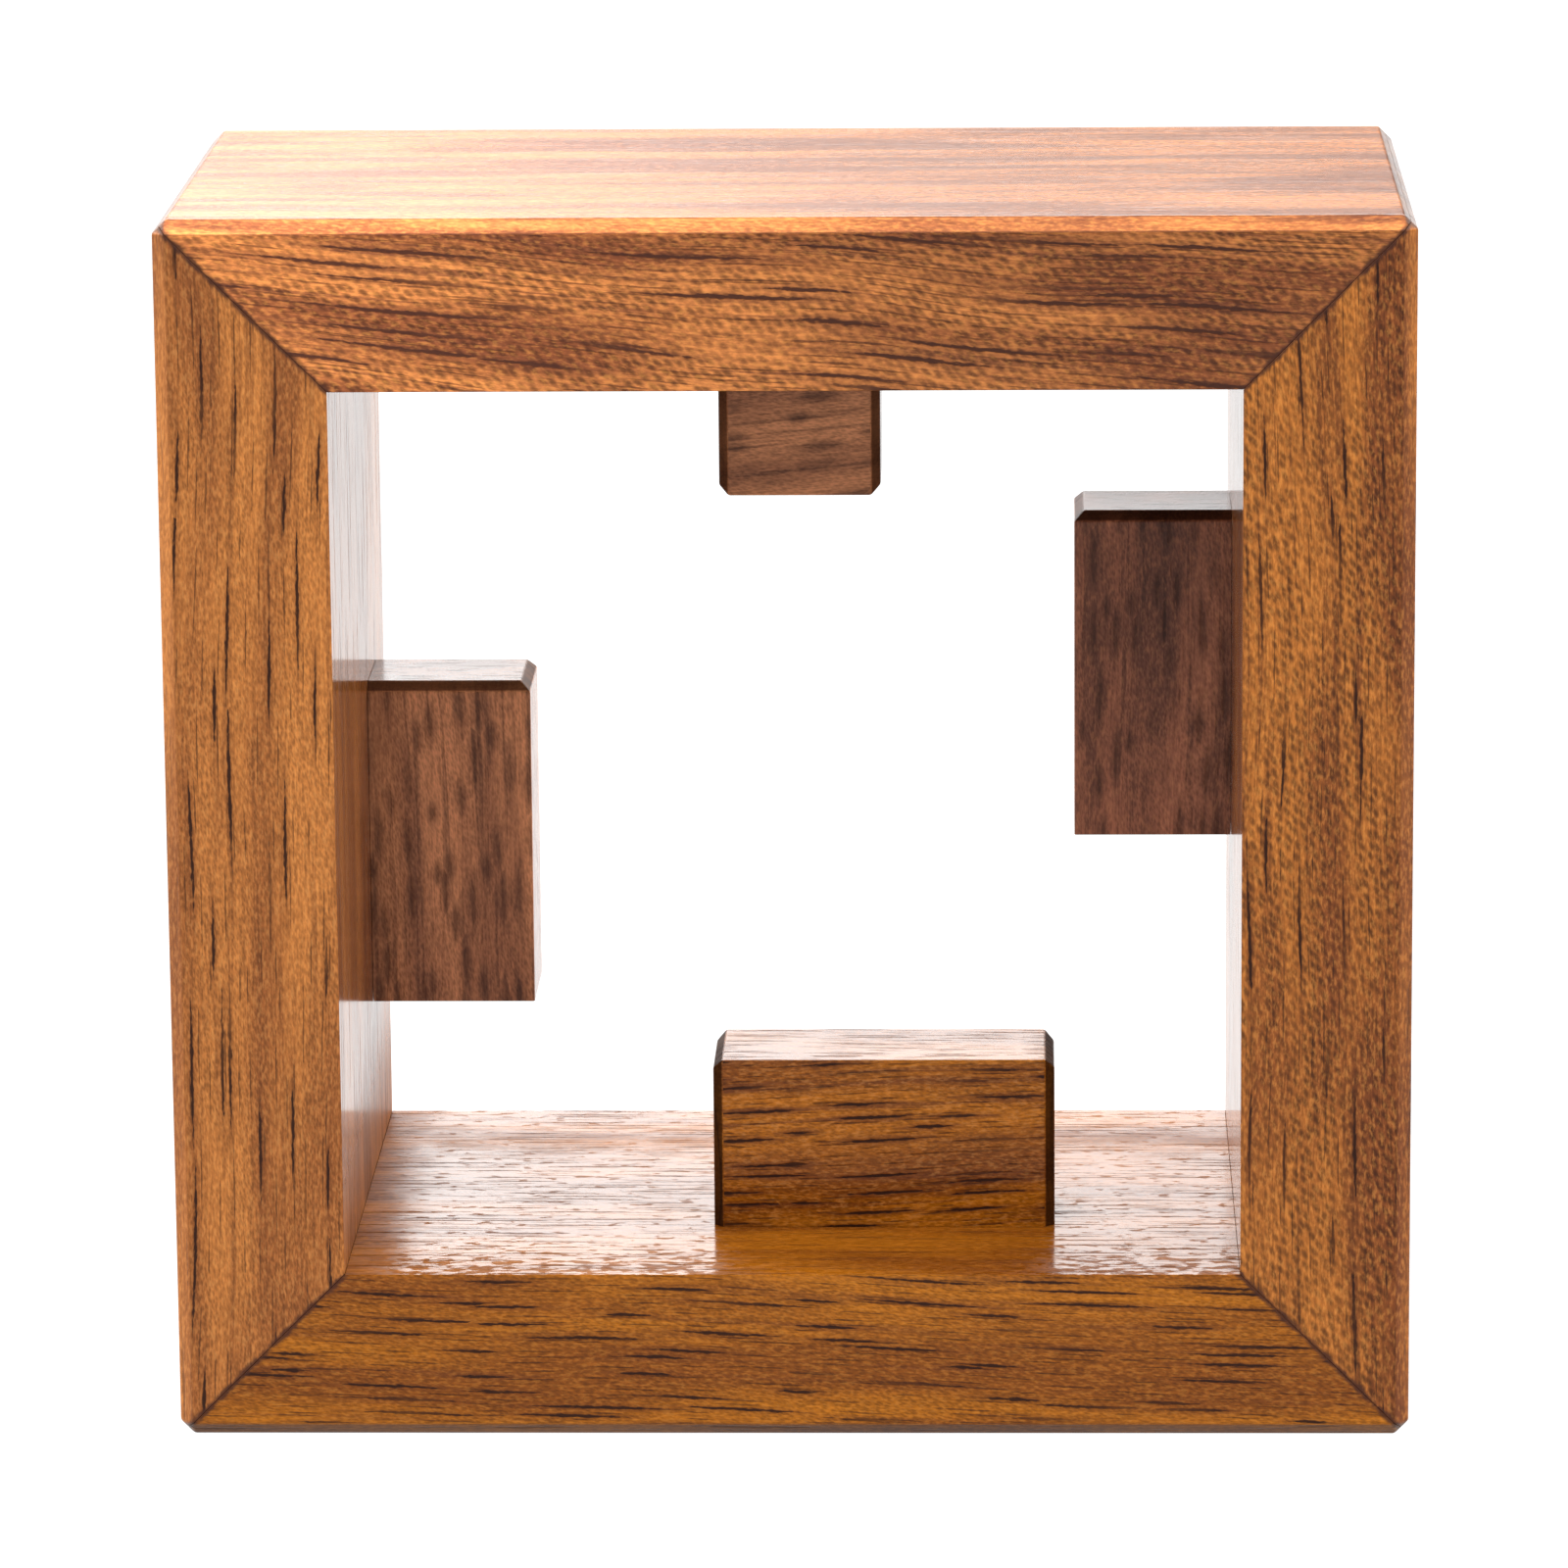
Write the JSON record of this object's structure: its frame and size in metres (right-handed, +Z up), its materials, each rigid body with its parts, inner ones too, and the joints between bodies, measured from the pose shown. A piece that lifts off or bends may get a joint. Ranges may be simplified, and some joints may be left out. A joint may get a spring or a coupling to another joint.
{
  "type": "wooden puzzle box",
  "caption": "Upright, square, open-through puzzle frame in lacquered hardwood, with mitred rails and small stop blocks glued to the inner walls to hinder the puzzle pieces.",
  "frame": {"origin": "centre of the footprint on the surface that the frame stands on", "axes": "+Z up, +X to the right as seen from the front, -Y towards the front, along the way through the opening"},
  "size_m": [0.075, 0.039, 0.075],
  "materials": {
    "rail_wood": "semi-gloss clear lacquer over golden-brown open-grained hardwood",
    "block_wood": "semi-gloss clear lacquer over darker walnut-brown hardwood",
    "spline_wood": "bare wood, sealed inside the joint by glue"
  },
  "bodies": {
    "root": {"rail_top": "rail_wood", "rail_bottom": "rail_wood", "rail_left": "rail_wood", "rail_right": "rail_wood", "block_top": "block_wood", "block_bottom": "block_wood", "block_left": "block_wood", "block_right": "block_wood", "spline_top_left": "spline_wood", "spline_top_right": "spline_wood", "spline_bottom_left": "spline_wood", "spline_bottom_right": "spline_wood"}
  },
  "joints": []
}
